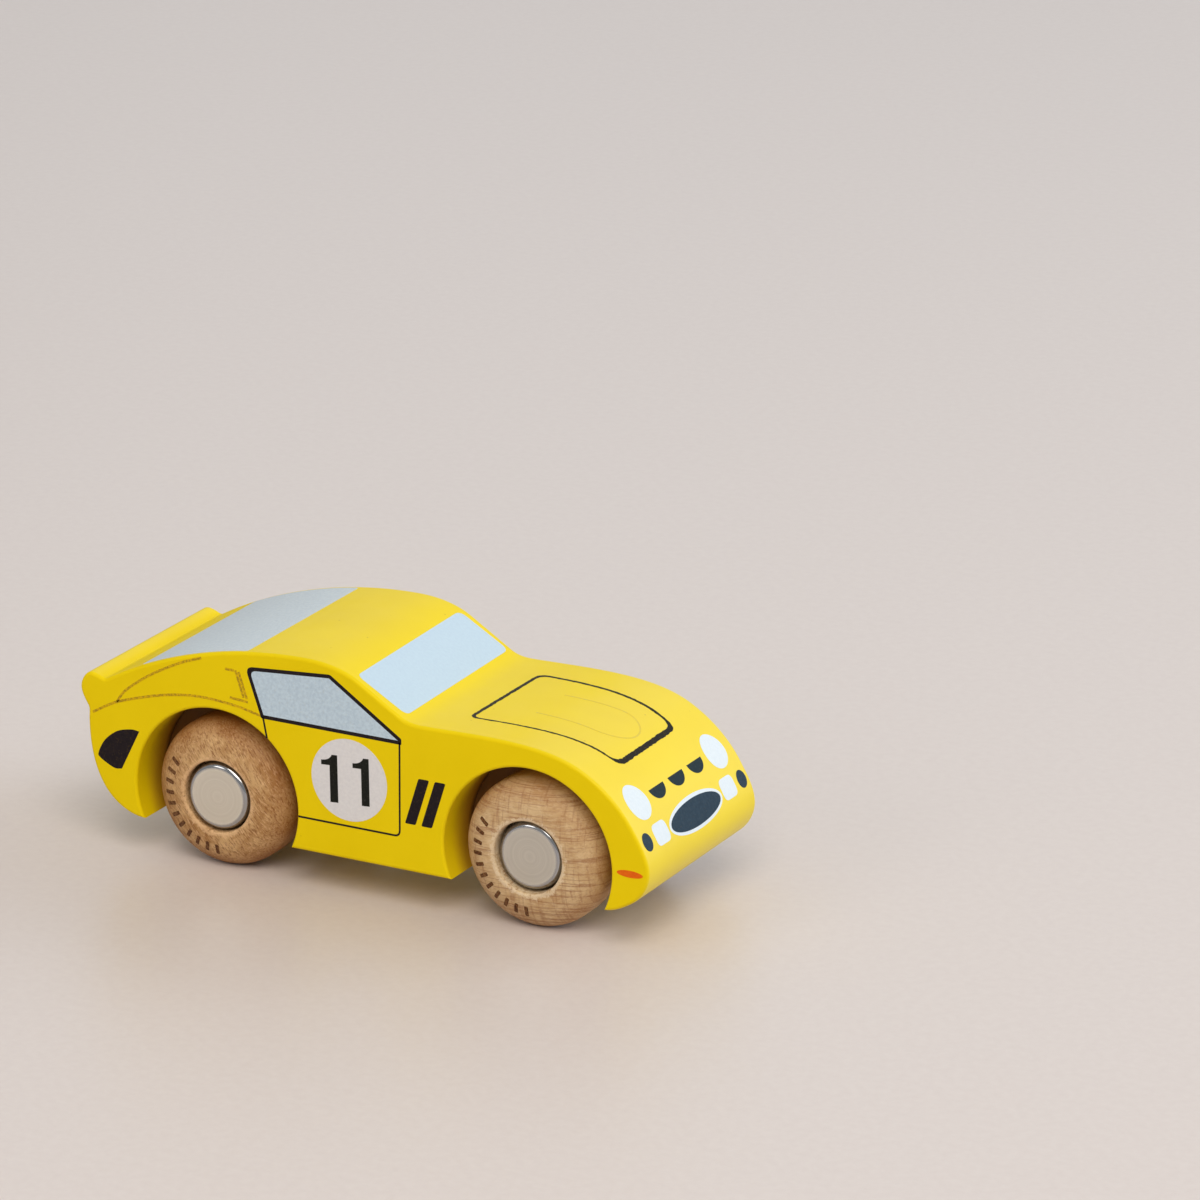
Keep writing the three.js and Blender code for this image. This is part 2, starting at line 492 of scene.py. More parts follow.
def scored(piece: Piece, axis: Axis, pitch: float) -> None:
    """Cuts a flat sheet across at even stations, so that it can bend.

    Args:
        piece: The sheet.
        axis: The axis that the cuts are square to.
        pitch: The distance between cuts.
    """
    places = [vertex.co[axis] for vertex in piece.data.vertices]
    low = min(places)
    square = Vector((0, 0, 0))
    square[axis] = 1
    with editing(piece):
        for station in range(1, math.ceil((max(places) - low) / pitch)):
            bpy.ops.mesh.select_all(action="SELECT")
            bpy.ops.mesh.bisect(plane_co=square * (low + station * pitch), plane_no=square)


def laid_on(sheet: Piece, target: Piece, axis: Axis, sign: int, thickness: float) -> None:
    """Presses a flat sheet onto a surface and gives it a thickness.

    Args:
        sheet: The flat sheet, standing off the surface.
        target: The piece that it is laid on.
        axis: The axis along which it is pressed.
        sign: The side of the target that it stands on, 1 or -1.
        thickness: How thick the film is.
    """
    out = Vector((0, 0, 0))
    out[axis] = sign
    facing = sum((face.normal * face.area for face in sheet.data.polygons), Vector())
    if facing.dot(out) < 0:
        with editing(sheet):
            bpy.ops.mesh.select_all(action="SELECT")
            bpy.ops.mesh.flip_normals()
    modified(
        sheet,
        "SHRINKWRAP",
        target=target,
        wrap_method="PROJECT",
        use_project_x=axis is Axis.AHEAD,
        use_project_y=axis is Axis.ACROSS,
        use_project_z=axis is Axis.UP,
        use_negative_direction=sign > 0,
        use_positive_direction=sign < 0,
    )
    modified(sheet, "SOLIDIFY", thickness=thickness, offset=1.0)
    weld(sheet)


def soften(piece: Piece, angle: float = 35.0) -> None:
    """Shades a piece smooth, apart from edges sharper than an angle, with flat faces kept flat.

    Args:
        piece: The piece.
        angle: The sharpest smooth edge, in degrees.
    """
    pick(piece)
    bpy.ops.object.shade_smooth_by_angle(angle=math.radians(angle))
    modified(piece, "WEIGHTED_NORMAL", keep_sharp=True)


# Finishes: effects that several share, and one class for each kind of surface


class Sheet:
    """One node tree, with short calls to fill it."""

    def __init__(self, tree: bpy.types.NodeTree) -> None:
        """Starts on an emptied tree."""
        self.tree = tree
        self.tree.nodes.clear()

    def add(self, kind: str, inputs: dict | None = None, **settings: object) -> Node:
        """Adds a node.

        Args:
            kind: The node's type.
            inputs: Values or sockets for its inputs, by name or number.
            **settings: The node's own settings by name.

        Returns:
            The node.
        """
        node = self.tree.nodes.new(kind)
        for name, value in settings.items():
            setattr(node, name, value)
        for name, value in (inputs or {}).items():
            if isinstance(value, bpy.types.NodeSocket):
                self.tree.links.new(value, node.inputs[name])
            else:
                node.inputs[name].default_value = value
        return node

    def math(self, operation: str, first: Socket | float, second: Socket | float = 0.0) -> Socket:
        """Works out one sum of two values."""
        return self.add("ShaderNodeMath", {0: first, 1: second}, operation=operation).outputs[0]

    def vector(self, operation: str, first: Socket, second: Socket | Triple) -> Socket:
        """Works out one sum of two vectors."""
        return self.add("ShaderNodeVectorMath", {0: first, 1: second}, operation=operation).outputs[0]

    def apart(self, value: Socket, middle: float) -> Socket:
        """Gives how far a value lies from a middle, either way."""
        return self.math("ABSOLUTE", self.math("SUBTRACT", value, middle))

    def length(self, place: Socket) -> Socket:
        """Gives the distance from the axle's line, for a place that counts from it."""
        flat = self.vector("MULTIPLY", place, (1.0, 0.0, 1.0))
        return self.add("ShaderNodeVectorMath", {0: flat}, operation="LENGTH").outputs["Value"]

    def mix(self, share: Socket, first: Socket | Colour, second: Socket | Colour) -> Socket:
        """Mixes two colours by a share of the second."""
        return self.add("ShaderNodeMix", {0: share, 6: first, 7: second}, data_type="RGBA").outputs[2]

    def tint(self, mask: Socket, strength: float, ground: Socket, colour: Colour) -> Socket:
        """Lays a colour over a ground where a mask says, up to a strength."""
        return self.mix(self.math("MULTIPLY", mask, strength), ground, colour)

    def spread(
        self, value: Socket, low: float, high: float, first: float = 0.0, last: float = 1.0
    ) -> Socket:
        """Maps a range of a value onto another, held at its ends.

        Args:
            value: The value.
            low: Where the range starts.
            high: Where it ends.
            first: What the start becomes.
            last: What the end becomes.

        Returns:
            The mapped value.
        """
        ends = {"Value": value, "From Min": low, "From Max": high, "To Min": first, "To Max": last}
        return self.add("ShaderNodeMapRange", ends).outputs["Result"]

    def place(self, centre: Triple = (0.0, 0.0, 0.0), turn: float = 0.0) -> Socket:
        """Gives the place on the piece in millimetres.

        Args:
            centre: The place that counts as zero, in millimetres.
            turn: How far the pattern is turned about the axle's direction, in radians.

        Returns:
            The place as a vector.
        """
        spot = self.add("ShaderNodeTexCoord").outputs["Object"]
        start = Vector(centre) * MM
        inputs = {"Vector": spot, "Location": start, "Rotation": (0.0, turn, 0.0), "Scale": (MM, MM, MM)}
        return self.add("ShaderNodeMapping", inputs, vector_type="TEXTURE").outputs[0]

    def stretched(self, place: Socket, scale: Triple, shift: float = 0.0) -> Socket:
        """Stretches a place along its axes, for a pattern with a direction."""
        inputs = {"Vector": place, "Scale": scale, "Location": (shift, shift, shift)}
        return self.add("ShaderNodeMapping", inputs).outputs[0]

    def cloud(
        self, place: Socket, scale: float = 1.0, detail: float = 2.0, roughness: float = 0.5
    ) -> Socket:
        """Gives a soft random pattern of a scale in turns for each unit of place."""
        inputs = {"Vector": place, "Scale": scale, "Detail": detail, "Roughness": roughness}
        return self.add("ShaderNodeTexNoise", inputs).outputs["Fac"]

    def thread(self, pattern: Socket, width: float) -> Socket:
        """Draws a thin line wherever a pattern passes its middle value."""
        return self.spread(self.apart(pattern, 0.5), width / 4, width, 1.0, 0.0)

    def effect(self, draw: Drawing, place: Socket) -> dict[str, Socket]:
        """Lays down a shared effect.

        Args:
            draw: The function that draws the effect.
            place: The place that it follows, in millimetres.

        Returns:
            The effect's values by name.
        """
        node = self.add("ShaderNodeGroup", node_tree=shared_effect(draw))
        self.tree.links.new(place, node.inputs["Place"])
        return {socket.name: socket for socket in node.outputs}

    def bump(self, height: Socket, strength: float, depth: float) -> Socket:
        """Turns a height into a normal, with the depth in millimetres."""
        inputs = {"Height": height, "Strength": strength, "Distance": depth * MM}
        return self.add("ShaderNodeBump", inputs).outputs[0]

    def shader(
        self, colour: Socket, roughness: Socket, normal: Socket, **others: Socket | float
    ) -> Node:
        """Adds the surface shader.

        Args:
            colour: The base colour.
            roughness: The roughness.
            normal: The normal.
            **others: Other inputs by name, with _ for spaces.

        Returns:
            The shader's node.
        """
        inputs = {"Base Color": colour, "Roughness": roughness, "Normal": normal}
        inputs |= {name.replace("_", " "): value for name, value in others.items()}
        return self.add("ShaderNodeBsdfPrincipled", inputs)


def shared_effect(draw: Drawing) -> bpy.types.NodeTree:
    """Builds an effect's node group once, and gives the same one after that.

    Args:
        draw: Fills the sheet and returns the values that it puts out, by name.

    Returns:
        The node group, named as its drawing is.
    """
    name = draw.__name__.removeprefix("draw_")
    known = bpy.data.node_groups.get(name)
    if known:
        return known
    group = bpy.data.node_groups.new(name, "ShaderNodeTree")
    group.interface.new_socket(name="Place", in_out="INPUT", socket_type="NodeSocketVector")
    sheet = Sheet(group)
    values = draw(sheet, sheet.add("NodeGroupInput").outputs["Place"])
    for output in values:
        group.interface.new_socket(name=output, in_out="OUTPUT", socket_type="NodeSocketFloat")
    sheet.add("NodeGroupOutput", values)
    return group


def draw_paint_skin(sheet: Sheet, place: Socket) -> dict[str, Socket]:
    """Draws the skin of a sprayed coat: slow clouds of tone, a fine peel and a few specks.

    Args:
        sheet: The sheet to draw on.
        place: The place in millimetres.

    Returns:
        The skin's values by name.
    """
    near = sheet.add("ShaderNodeTexVoronoi", {"Vector": place, "Scale": 0.14}).outputs["Distance"]
    return {
        "Tone": sheet.cloud(place, scale=0.06, detail=3.0),
        "Peel": sheet.cloud(place, scale=1.6, detail=3.0, roughness=0.6),
        "Speck": sheet.spread(near, 0.015, 0.035, 1.0, 0.0),
    }


def draw_wood_figure(sheet: Sheet, place: Socket) -> dict[str, Socket]:
    """Draws the figure of beech with its grain along X: growth lines, rays, flecks and patches.

    Args:
        sheet: The sheet to draw on.
        place: The place in millimetres.

    Returns:
        The figure's values by name.
    """
    drift = sheet.add("ShaderNodeTexNoise", {"Vector": place, "Scale": 0.08, "Detail": 1.0})
    sway = sheet.vector("MULTIPLY", drift.outputs["Color"], (0.6, 0.6, 0.6))
    bent = sheet.vector("ADD", place, sway)
    growth = sheet.cloud(sheet.stretched(bent, (0.012, 0.012, 0.8)), roughness=0.6)
    across = sheet.cloud(sheet.stretched(bent, (0.55, 0.02, 0.04), shift=7.0), roughness=0.6)
    growth_gaps = sheet.spread(sheet.cloud(sheet.stretched(place, (0.14, 0.3, 1.6), shift=5.0)), 0.34, 0.5)
    ray_gaps = sheet.spread(sheet.cloud(sheet.stretched(place, (1.6, 0.3, 0.5), shift=9.0)), 0.4, 0.58)
    dark = sheet.cloud(sheet.stretched(bent, (0.6, 3.0, 3.0), shift=13.0), detail=3.0, roughness=0.65)
    light = sheet.cloud(sheet.stretched(bent, (0.7, 3.4, 3.4), shift=29.0), detail=3.0, roughness=0.65)
    patches = sheet.cloud(place, scale=0.17, detail=4.0, roughness=0.65)
    return {
        "Rings": sheet.math("MULTIPLY", sheet.thread(growth, 0.035), growth_gaps),
        "Rays": sheet.math("MULTIPLY", sheet.thread(across, 0.05), ray_gaps),
        "Flecks": sheet.spread(dark, 0.5, 0.62),
        "Glints": sheet.spread(light, 0.52, 0.64),
        "Patches": sheet.spread(patches, 0.36, 0.64),
        "Fibre": sheet.cloud(sheet.stretched(bent, (0.6, 5.0, 5.0), shift=3.0)),
    }


def draw_handling(sheet: Sheet, place: Socket) -> dict[str, Socket]:
    """Draws the smudges and dust that hands leave, as uneven masks.

    Args:
        sheet: The sheet to draw on.
        place: The place in millimetres.

    Returns:
        The masks by name.
    """
    smudge = sheet.cloud(place, scale=0.11, detail=4.0, roughness=0.65)
    dust = sheet.cloud(place, scale=2.8, roughness=0.7)
    return {"Smudge": sheet.spread(smudge, 0.4, 0.7), "Dust": sheet.spread(dust, 0.58, 0.74)}


@dataclass(frozen=True)
class Finish:
    """A finish with a name, which makes its material once."""

    name: str

    def material(self) -> bpy.types.Material:
        """Gives the finish's material, made at its first use.

        Returns:
            The material.
        """
        known = bpy.data.materials.get(self.name)
        if known:
            return known
        made = bpy.data.materials.new(self.name)
        made.use_nodes = True
        sheet = Sheet(made.node_tree)
        shader = self.shade(sheet)
        sheet.add("ShaderNodeOutputMaterial", {"Surface": shader.outputs[0]})
        return made

    def shade(self, sheet: Sheet) -> Node:
        """Fills the material's sheet and returns its shader; each kind of finish has its own."""
        raise NotImplementedError


@dataclass(frozen=True)
class SatinPaint(Finish):
    """Sprayed satin paint on sanded wood, polished by hands on top; in the wheel wells it browns as thin
    paint and darkens with painted shade.
    """

    light: Colour = srgb(236, 208, 10)
    deep: Colour = srgb(232, 203, 6)
    speck: Colour = srgb(170, 132, 16)
    speck_strength: float = 0.5
    # Inside the wells: thin paint that browns the yellow, then painted shade that darkens the deep walls
    # and floors
    bare: Colour = srgb(212, 150, 52)
    painted_shade_brown: Colour = srgb(120, 78, 44)
    well_strength: float = 0.9
    well_edge: Point = (18.4, 18.1)
    well_floor: float = 10.6
    thin: Point = (19.0, 12.0)
    painted_shade_floor: Point = (12.6, 11.0)
    roughness: Point = (0.44, 0.52)
    peel: Point = (0.35, 0.02)
    specular: float = 0.06
    polish: Point = (0.32, 0.9)
    polish_roughness: float = 0.42
    polish_rise: Point = (32.0, 46.0)
    polish_edge: Point = (21.6, 22.3)
    dull_slope: float = -52.5
    dull_reach: Point = (4.5, 6.0)

    def handled(self, sheet: Sheet, place: Socket) -> Socket:
        """Draws the polish on top, which rises at the nose and misses the flat sides and the tail slope.

        Args:
            sheet: The sheet to draw on.
            place: The place in millimetres.

        Returns:
            The weight of the polish.
        """
        parts = sheet.add("ShaderNodeSeparateXYZ", {0: place}).outputs
        ahead = sheet.spread(parts["X"], *self.polish_rise, *self.polish)
        inside = sheet.spread(sheet.math("ABSOLUTE", parts["Y"]), *self.polish_edge, 1.0, 0.0)
        clear = sheet.spread(sheet.apart(parts["X"], self.dull_slope), *self.dull_reach)
        return sheet.math("MULTIPLY", ahead, sheet.math("MULTIPLY", inside, clear))

    def well_masks(self, sheet: Sheet, place: Socket) -> list[Socket]:
        """Draws two masks inside the wells: thin paint with painted shade rising from their mouths, and
        painted shade on their floors.

        Args:
            sheet: The sheet to draw on.
            place: The place in millimetres.

        Returns:
            The masks, mouth first.
        """
        radii = [sheet.length(sheet.vector("SUBTRACT", place, tuple(axle))) for axle in AXLE.values()]
        round_axle = sheet.spread(sheet.math("MINIMUM", *radii), *self.well_edge)
        across = sheet.add("ShaderNodeSeparateXYZ", {0: place}).outputs["Y"]
        out = sheet.math("ABSOLUTE", across)
        inside = sheet.math("MULTIPLY", round_axle, sheet.math("GREATER_THAN", out, self.well_floor))
        depths = [sheet.spread(out, *reach) for reach in (self.thin, self.painted_shade_floor)]
        return [sheet.math("MULTIPLY", inside, depth) for depth in depths]

    def shade(self, sheet: Sheet) -> Node:
        """Varies the yellow slowly, dulls it where it is handled and gives it a fine peel.

        Args:
            sheet: The material's sheet.

        Returns:
            The shader.
        """
        place = sheet.place()
        skin = sheet.effect(draw_paint_skin, place)
        hands = sheet.effect(draw_handling, place)
        # The wells' masks lay thin paint and painted shade into the recesses
        thin, floor = self.well_masks(sheet, place)
        coat = sheet.mix(sheet.spread(skin["Tone"], *MIDDLE), self.deep, self.light)
        specked = sheet.tint(skin["Speck"], self.speck_strength, coat, self.speck)
        thinned_and_shaded = sheet.tint(thin, self.well_strength, specked, self.bare)
        return sheet.shader(
            sheet.tint(floor, self.well_strength, thinned_and_shaded, self.painted_shade_brown),
            sheet.spread(hands["Smudge"], 0.0, 1.0, *self.roughness),
            sheet.bump(skin["Peel"], *self.peel),
            Specular_IOR_Level=self.specular,
            Coat_Weight=self.handled(sheet, place),
            Coat_Roughness=self.polish_roughness,
        )


@dataclass(frozen=True)
class PrintInk(Finish):
    """Pad-printed ink, in which a little of the ground shows."""

    colour: Colour
    mottle: Colour
    ground: Colour = srgb(230, 188, 4)
    thin: float = 0.04
    broken: float = 0.0
    grain: Point = (0.35, 0.65)
    gaps: Point = (0.42, 0.56)
    roughness: Point = (0.5, 0.56)
    peel: Point = (0.3, 0.02)
    specular: float = 0.12

    def shade(self, sheet: Sheet) -> Node:
        """Mottles the ink, lets the ground through in fine dots and breaks a worn line.

        Args:
            sheet: The material's sheet.

        Returns:
            The shader.
        """
        place = sheet.place()
        skin = sheet.effect(draw_paint_skin, place)
        hands = sheet.effect(draw_handling, place)
        grain = sheet.spread(skin["Peel"], *self.grain)
        ink = sheet.mix(grain, self.colour, self.mottle)
        dots = sheet.math("MULTIPLY", hands["Dust"], self.thin)
        worn = sheet.cloud(place, scale=2.2, detail=3.0, roughness=0.7)
        gaps = sheet.spread(worn, *self.gaps, self.broken, 0.0)
        return sheet.shader(
            sheet.mix(sheet.math("MAXIMUM", dots, gaps), ink, self.ground),
            sheet.spread(grain, 0.0, 1.0, *self.roughness),
            sheet.bump(skin["Peel"], *self.peel),
            Specular_IOR_Level=self.specular,
        )


@dataclass(frozen=True)
class Beech(Finish):
    """Bare turned beech, each wheel from its own place in the plank."""

    centre: Triple
    turn: float
    pale: Colour = srgb(210, 181, 138)
    brown: Colour = srgb(186, 149, 104)
    line: Colour = srgb(140, 88, 54)
    fibre: Colour = srgb(226, 206, 174)
    rings: float = 0.6
    rays: float = 0.4
    flecks: float = 0.25
    glints: float = 0.25
    bore: float = 7.6
    fray: float = 0.7
    torn: Point = (0.1, 0.7)
    torn_strength: float = 0.7
    # Darker and more orange towards the tread: partly end grain, partly painted shade and painted
    # reflection of the yellow arch
    tread: Point = (11.5, 15.0)
    tread_grain_and_shade_tint: float = 0.25
    tread_grain_and_shade_tone: Colour = srgb(158, 100, 48)
    roughness: Point = (0.62, 0.5)
    relief: Point = (0.4, 0.06)
    specular: float = 0.3

    def shade(self, sheet: Sheet) -> Node:
        """Lays the wood's figure, raises pale fibres round the counterbore and darkens it towards the
        tread, partly with painted shade.

        Args:
            sheet: The material's sheet.

        Returns:
            The shader.
        """
        place = sheet.place(self.centre, self.turn)
        radius = sheet.length(place)
        figure = sheet.effect(draw_wood_figure, place)
        hands = sheet.effect(draw_handling, place)
        uneven = sheet.cloud(place, scale=1.3, detail=3.0, roughness=0.7)
        frayed = sheet.spread(uneven, *MIDDLE, -self.fray, self.fray)
        edge = sheet.math("ADD", sheet.apart(radius, self.bore), frayed)
        layers = (
            (figure["Rings"], self.rings, self.line),
            (figure["Rays"], self.rays, self.line),
            (figure["Flecks"], self.flecks, self.line),
            (figure["Glints"], self.glints, self.fibre),
            (sheet.spread(edge, *self.torn, 1.0, 0.0), self.torn_strength, self.fibre),
            # The tread's darker orange: end grain, with painted shade and painted reflection from the arch
            (sheet.spread(radius, *self.tread), self.tread_grain_and_shade_tint, self.tread_grain_and_shade_tone),
        )
        colour = sheet.mix(figure["Patches"], self.brown, self.pale)
        for mask, strength, tone in layers:
            colour = sheet.tint(mask, strength, colour, tone)
        rough = sheet.spread(hands["Smudge"], 0.0, 1.0, *self.roughness)
        normal = sheet.bump(figure["Fibre"], *self.relief)
        return sheet.shader(colour, rough, normal, Specular_IOR_Level=self.specular)


@dataclass(frozen=True)
class Steel(Finish):
    """Plated or drawn steel with fine turning marks and a polished rim, its colour darkened as a painted
    dark reflection.
    """

    centre: Triple
    bright: Colour = srgb(232, 228, 216)
    dull: Colour = srgb(222, 217, 204)
    # The rim's colour is a painted dark reflection of the surroundings
    rim_painted_reflection: Colour = srgb(172, 174, 178)
    face_roughness: Point = (0.34, 0.44)
    rim_roughness: float = 0.14
    rim: float = 5.5
    rim_blend: float = 0.4
    relief: Point = (0.06, 0.02)

    def shade(self, sheet: Sheet) -> Node:
        """Rings the face with turning marks, and outside the rim's radius polishes it and darkens it as a
        painted dark reflection.

        Args:
            sheet: The material's sheet.

        Returns:
            The shader.
        """
        place = sheet.place(self.centre)
        hands = sheet.effect(draw_handling, place)
        radius = sheet.length(place)
        outer = sheet.spread(radius, self.rim, self.rim + self.rim_blend)
        rings = sheet.add("ShaderNodeCombineXYZ", {0: radius}).outputs[0]
        marks = sheet.cloud(rings, scale=1.6, detail=3.0, roughness=0.6)
        face = sheet.mix(sheet.spread(marks, *MIDDLE), self.dull, self.bright)
        # Outside the rim the colour darkens as a painted reflection
        colour = sheet.mix(outer, face, self.rim_painted_reflection)
        satin = sheet.spread(hands["Smudge"], 0.0, 1.0, *self.face_roughness)
        rough = sheet.add("ShaderNodeMix", {0: outer, 2: satin, 3: self.rim_roughness}).outputs[0]
        return sheet.shader(colour, rough, sheet.bump(marks, *self.relief), Metallic=1.0)


@dataclass(frozen=True)
class Tabletop(Finish):
    """A pale matt table under the car."""

    light: Colour = srgb(214, 203, 198)
    dark: Colour = srgb(210, 198, 193)
    roughness: Point = (0.34, 0.44)
    relief: Point = (0.3, 0.1)
    specular: float = 0.4

    def shade(self, sheet: Sheet) -> Node:
        """Gives the pale colour a fine tooth and the least change of tone.

        Args:
            sheet: The material's sheet.

        Returns:
            The shader.
        """
        tooth = sheet.cloud(sheet.place(), scale=0.5, detail=3.0, roughness=0.6)
        colour = sheet.mix(sheet.spread(tooth, *MIDDLE), self.dark, self.light)
        rough = sheet.spread(tooth, 0.0, 1.0, *self.roughness)
        normal = sheet.bump(tooth, *self.relief)
        return sheet.shader(colour, rough, normal, Specular_IOR_Level=self.specular)


# The paint, and each ink's colour and mottle
PAINT = SatinPaint("yellow_satin_paint")
BLACK = PrintInk("black_ink", srgb(26, 20, 25), srgb(35, 27, 31))
NUMBER = PrintInk("number_ink", srgb(20, 22, 18), srgb(28, 29, 24), ground=srgb(216, 208, 204))
LINE = PrintInk("bonnet_ink", srgb(24, 22, 18), srgb(34, 31, 24), thin=0.1)
SLATE = PrintInk("slate_ink", srgb(30, 50, 66), srgb(42, 61, 76))
VENT = PrintInk("vent_ink", srgb(20, 38, 46), srgb(30, 47, 54))
WHITE = PrintInk("white_ink", srgb(220, 228, 234), srgb(215, 224, 231))
CREAM = PrintInk("roundel_ink", srgb(223, 222, 224), srgb(216, 215, 218))
PANE = PrintInk("side_pane_ink", srgb(196, 215, 230), srgb(180, 200, 217), thin=0.08)
SCREEN = PrintInk("windscreen_ink", srgb(190, 209, 223), srgb(186, 205, 220), thin=0.02)
BACKLIGHT = PrintInk("rear_window_ink", srgb(202, 211, 217), srgb(192, 202, 210), thin=0.1)
ORANGE = PrintInk("indicator_ink", srgb(232, 106, 14), srgb(224, 96, 12))
FAINT = PrintInk("worn_line_ink", srgb(160, 128, 28), srgb(182, 148, 26), broken=0.75)
SCOOP = PrintInk("scoop_line_ink", srgb(214, 192, 92), srgb(220, 196, 70), broken=0.5)
BURNT = PrintInk("burnt_mark", srgb(74, 42, 24), srgb(98, 58, 34), ground=srgb(180, 136, 90), broken=0.3)


def finished(piece: Piece, body: str, finish: Finish, replaces: str | None = None) -> None:
    """Brings a piece to metres, dresses it and makes it ride on its body.

    Args:
        piece: The piece, in millimetres at its place.
        body: The CAD body that carries it.
        finish: The finish that it gets.
        replaces: The CAD node that it stands for, if any.
    """
    settle(piece, Matrix.Scale(MM, 4))
    piece.data.materials.clear()
    piece.data.materials.append(finish.material())
    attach(piece, body)
    if replaces:
        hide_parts(replaces)
    LOG.info("%s: %d faces on %s, in %s", piece.name, len(piece.data.polygons), body, finish.name)


# The car


@dataclass(frozen=True)
class OutlineNode:
    """A node of the body's side outline, placed from an axle, with the outline's heading in degrees."""

    axle: End
    ahead: float
    height: float
    heading: float

    def place(self) -> Vector:
        """Gives the node's place on the car's middle plane."""
        return AXLE[self.axle] + Vector((self.ahead, 0.0, self.height))

    def direction(self) -> Vector:
        """Gives the way that the outline runs through the node."""
        angle = math.radians(self.heading)
        return Vector((math.cos(angle), 0.0, math.sin(angle)))


@dataclass
class BodyBlock:
    """The sawn, sanded and painted block, with its wheel wells and axle holes."""

    edge_round: float = 0.7
    arch_radius: float = 18.0
    arch_edge: float = 0.6
    arch_edge_steps: int = 6
    well_floor: float = 10.7
    hole_radius: float = 2.75
    print_room: float = 0.06
    outline_steps: int = 28
    round_steps: int = 6
    arch_steps: int = 144
    outline: tuple[OutlineNode, ...] = (
        OutlineNode(End.REAR, -16.5, -7.4, 180),
        OutlineNode(End.REAR, -25.2, -2.6, 126),
        OutlineNode(End.REAR, -28.8, 11.5, 90),
        OutlineNode(End.REAR, -29.0, 13.9, 122),
        OutlineNode(End.REAR, -30.5, 17.6, 90),
        OutlineNode(End.REAR, -27.9, 20.8, -5),
        OutlineNode(End.REAR, -25.55, 20.05, -25),
        OutlineNode(End.REAR, -24.5, 20.1, 30),
        OutlineNode(End.REAR, 20.0, 31.75, 0),
        OutlineNode(End.FRONT, -36.3, 28.95, -31.5),
        OutlineNode(End.FRONT, -27.4, 23.5, -31.5),
        OutlineNode(End.FRONT, -22.5, 22.5, 1),
        OutlineNode(End.FRONT, -2.8, 22.65, -3),
        OutlineNode(End.FRONT, 12.2, 19.2, -29),
        OutlineNode(End.FRONT, 22.6, 9.5, -59),
        OutlineNode(End.FRONT, 25.9, 1.4, -90),
        OutlineNode(End.FRONT, 22.4, -4.95, -146),
        OutlineNode(End.FRONT, 16.2, -7.4, -180),
    )

    def half_width(self) -> float:
        """Gives where the painted sides lie, a print's thickness inside the block's full width."""
        return node_box("body_block")[1].y - self.print_room

    def sawn(self) -> Piece:
        """Draws the side outline as one curve and saws the block to it, with rounded edges.

        Returns:
            The block without its wells.
        """
        bpy.ops.object.select_all(action="DESELECT")
        bpy.ops.curve.primitive_bezier_curve_add(location=(0.0, 0.0, 0.0))
        block = bpy.context.object
        block.name = "painted_body"
        block.data.resolution_u = self.outline_steps
        spline = block.data.splines[0]
        spline.bezier_points.add(len(self.outline) - len(spline.bezier_points))
        spline.use_cyclic_u = True
        start = Vector((0.0, -self.half_width(), 0.0))
        for index, (knot, node) in enumerate(zip(spline.bezier_points, self.outline)):
            place = node.place()
            before = (place - self.outline[index - 1].place()).length / 3
            after = (self.outline[(index + 1) % len(self.outline)].place() - place).length / 3
            knot.handle_left_type = "FREE"
            knot.handle_right_type = "FREE"
            knot.co = start + place
            knot.handle_left = start + place - node.direction() * before
            knot.handle_right = start + place + node.direction() * after
        pick(block)
        bpy.ops.object.convert(target="MESH")
        with editing(block):
            bpy.ops.mesh.select_all(action="SELECT")
            bpy.ops.mesh.remove_doubles(threshold=WELD)
            bpy.ops.mesh.edge_face_add()
            across = {"value": (0.0, 2 * self.half_width(), 0.0)}
            bpy.ops.mesh.extrude_region_move(TRANSFORM_OT_translate=across)
        weld(block)
        rim = self.half_width() - WELD
        select_edges(block, lambda first, last: abs(first.y + last.y) > 2 * rim)
        with editing(block, "EDGE"):
            bpy.ops.mesh.bevel(
                offset=self.edge_round,
                segments=self.round_steps,
                profile=0.5,
                clamp_overlap=False,
            )
        weld(block)
        return block

    def cutters(self) -> list[Piece]:
        """Makes the tools that bore the wells, with their eased mouths, and the axle holes.

        Returns:
            The tools as solids.
        """
        half = self.half_width()
        beyond = half + self.edge_round
        ease = self.arch_edge
        mouth = self.arch_radius + ease
        eased = arc((mouth, half - ease), (ease, ease), math.pi, RIGHT_ANGLE, self.arch_edge_steps)
        floor = [(0.0, self.well_floor), (self.arch_radius, self.well_floor)]
        well = [*floor, *eased, (mouth, beyond), (0.0, beyond)]
        hole = [(0.0, -half), (self.hole_radius, -half), (self.hole_radius, half), (0.0, half)]
        tools = []
        for end in End:
            for side in Side:
                name = f"well_tool_{end.value}_{side.tag}"
                tools.append(turned(name, well, AXLE[end], side, self.arch_steps))
            name = f"hole_tool_{end.value}"
            tools.append(turned(name, hole, AXLE[end], Side.LEFT, self.arch_steps // 2))
        return tools

    def build(self) -> Piece:
        """Makes the block and bores it.

        Returns:
            The body, in millimetres.
        """
        block = self.sawn()
        for tool in self.cutters():
            modified(block, "BOOLEAN", operation="DIFFERENCE", solver="EXACT", object=tool)
            bpy.data.objects.remove(tool)
        weld(block)
        soften(block)
        return block


@dataclass(frozen=True)
class Film:
    """One print: its name, its outlines in the view, its ink and how many films lie under it."""

    name: str
    loops: list[Loop]
    ink: PrintInk
    layer: int = 0


